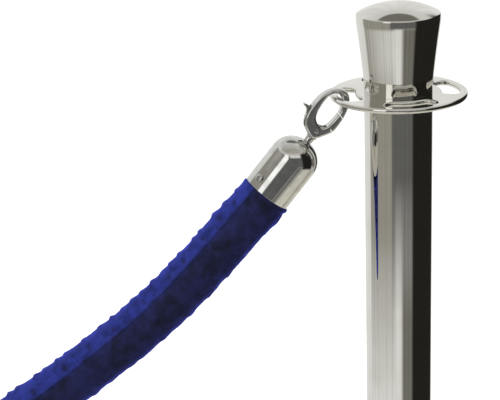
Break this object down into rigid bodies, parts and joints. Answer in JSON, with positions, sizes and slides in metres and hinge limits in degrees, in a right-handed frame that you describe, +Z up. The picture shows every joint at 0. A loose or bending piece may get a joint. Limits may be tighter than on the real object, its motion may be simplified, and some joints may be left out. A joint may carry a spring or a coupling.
{
  "type": "rope barrier post",
  "caption": "Polished barrier post with a flared finial, a slotted hook ring, a weighted round base and a velvet rope hooked into the ring by a swivel snap hook.",
  "frame": {"origin": "on the floor under the centre of the post", "axes": "+Z up along the post; the ring's slots face +X, -X, +Y and -Y; the rope lies in the XZ plane and leaves the slot that faces -X"},
  "size_m": [0.5481, 0.32, 1],
  "materials": {
    "polished_steel": "mirror polished stainless steel with fine handling marks",
    "chrome_plate": "bright chrome on zinc casting and drawn steel",
    "zinc_plated_steel": "bright zinc plated",
    "spring_steel": "drawn spring wire",
    "cast_iron": "rough casting, black paint",
    "rubber": "matt black moulded rubber",
    "fibre": "dark vulcanised fibre",
    "rope_core": "turned wooden plug in the rope's end",
    "blue_velvet": "crushed royal blue velvet with a lengthwise seam"
  },
  "bodies": {
    "post": {"floor_ring": "rubber", "base_weight": "cast_iron", "base_cover": "polished_steel", "base_collar": "polished_steel", "base_bolt": "zinc_plated_steel", "base_washer": "zinc_plated_steel", "base_lock_washer": "zinc_plated_steel", "foot_plug": "zinc_plated_steel", "post_tube": "polished_steel", "top_plug": "zinc_plated_steel", "ring_gasket": "fibre", "hook_ring": "polished_steel", "finial_shell": "polished_steel", "finial_insert": "zinc_plated_steel", "finial_stud": "zinc_plated_steel"},
    "near_hook": {"near_hook_body": "chrome_plate", "near_gate_pin": "zinc_plated_steel", "near_gate_spring": "spring_steel", "near_swivel_nut": "zinc_plated_steel"},
    "near_gate_lever": {"near_gate": "chrome_plate"},
    "rope_line": {"near_rope_cap": "chrome_plate", "near_rope_core": "rope_core", "near_cap_screw": "zinc_plated_steel", "near_swivel_washer": "zinc_plated_steel", "rope": "blue_velvet", "far_rope_cap": "chrome_plate", "far_rope_core": "rope_core", "far_cap_screw": "zinc_plated_steel", "far_swivel_washer": "zinc_plated_steel"},
    "far_hook": {"far_hook_body": "chrome_plate", "far_gate_pin": "zinc_plated_steel", "far_gate_spring": "spring_steel", "far_swivel_nut": "zinc_plated_steel"},
    "far_gate_lever": {"far_gate": "chrome_plate"}
  },
  "joints": [
    {"name": "rope_swing", "type": "hinge", "parent": "post", "child": "near_hook", "pos_m": [-0.048, 0, 0.9315], "axis": [0, 1, 0], "range_deg": [-34, 90]},
    {"name": "near_gate_pivot", "type": "hinge", "parent": "near_hook", "child": "near_gate_lever", "pos_m": [-0.06259, 0, 0.90836], "axis": [0, -1, 0], "range_deg": [0, 22], "stiffness_Nm_per_rad": 0.02, "springref_deg": -17.19},
    {"name": "near_swivel", "type": "hinge", "parent": "near_hook", "child": "rope_line", "pos_m": [-0.06773, 0, 0.90145], "axis": [0.6428, 0, 0.766], "continuous": true},
    {"name": "far_swivel", "type": "hinge", "parent": "rope_line", "child": "far_hook", "pos_m": [-0.34993, 0, 0.66485], "axis": [-0.848, 0, -0.5299], "continuous": true},
    {"name": "far_gate_pivot", "type": "hinge", "parent": "far_hook", "child": "far_gate_lever", "pos_m": [-0.35696, 0, 0.65987], "axis": [0, -1, 0], "range_deg": [0, 22], "stiffness_Nm_per_rad": 0.02, "springref_deg": -17.19}
  ]
}
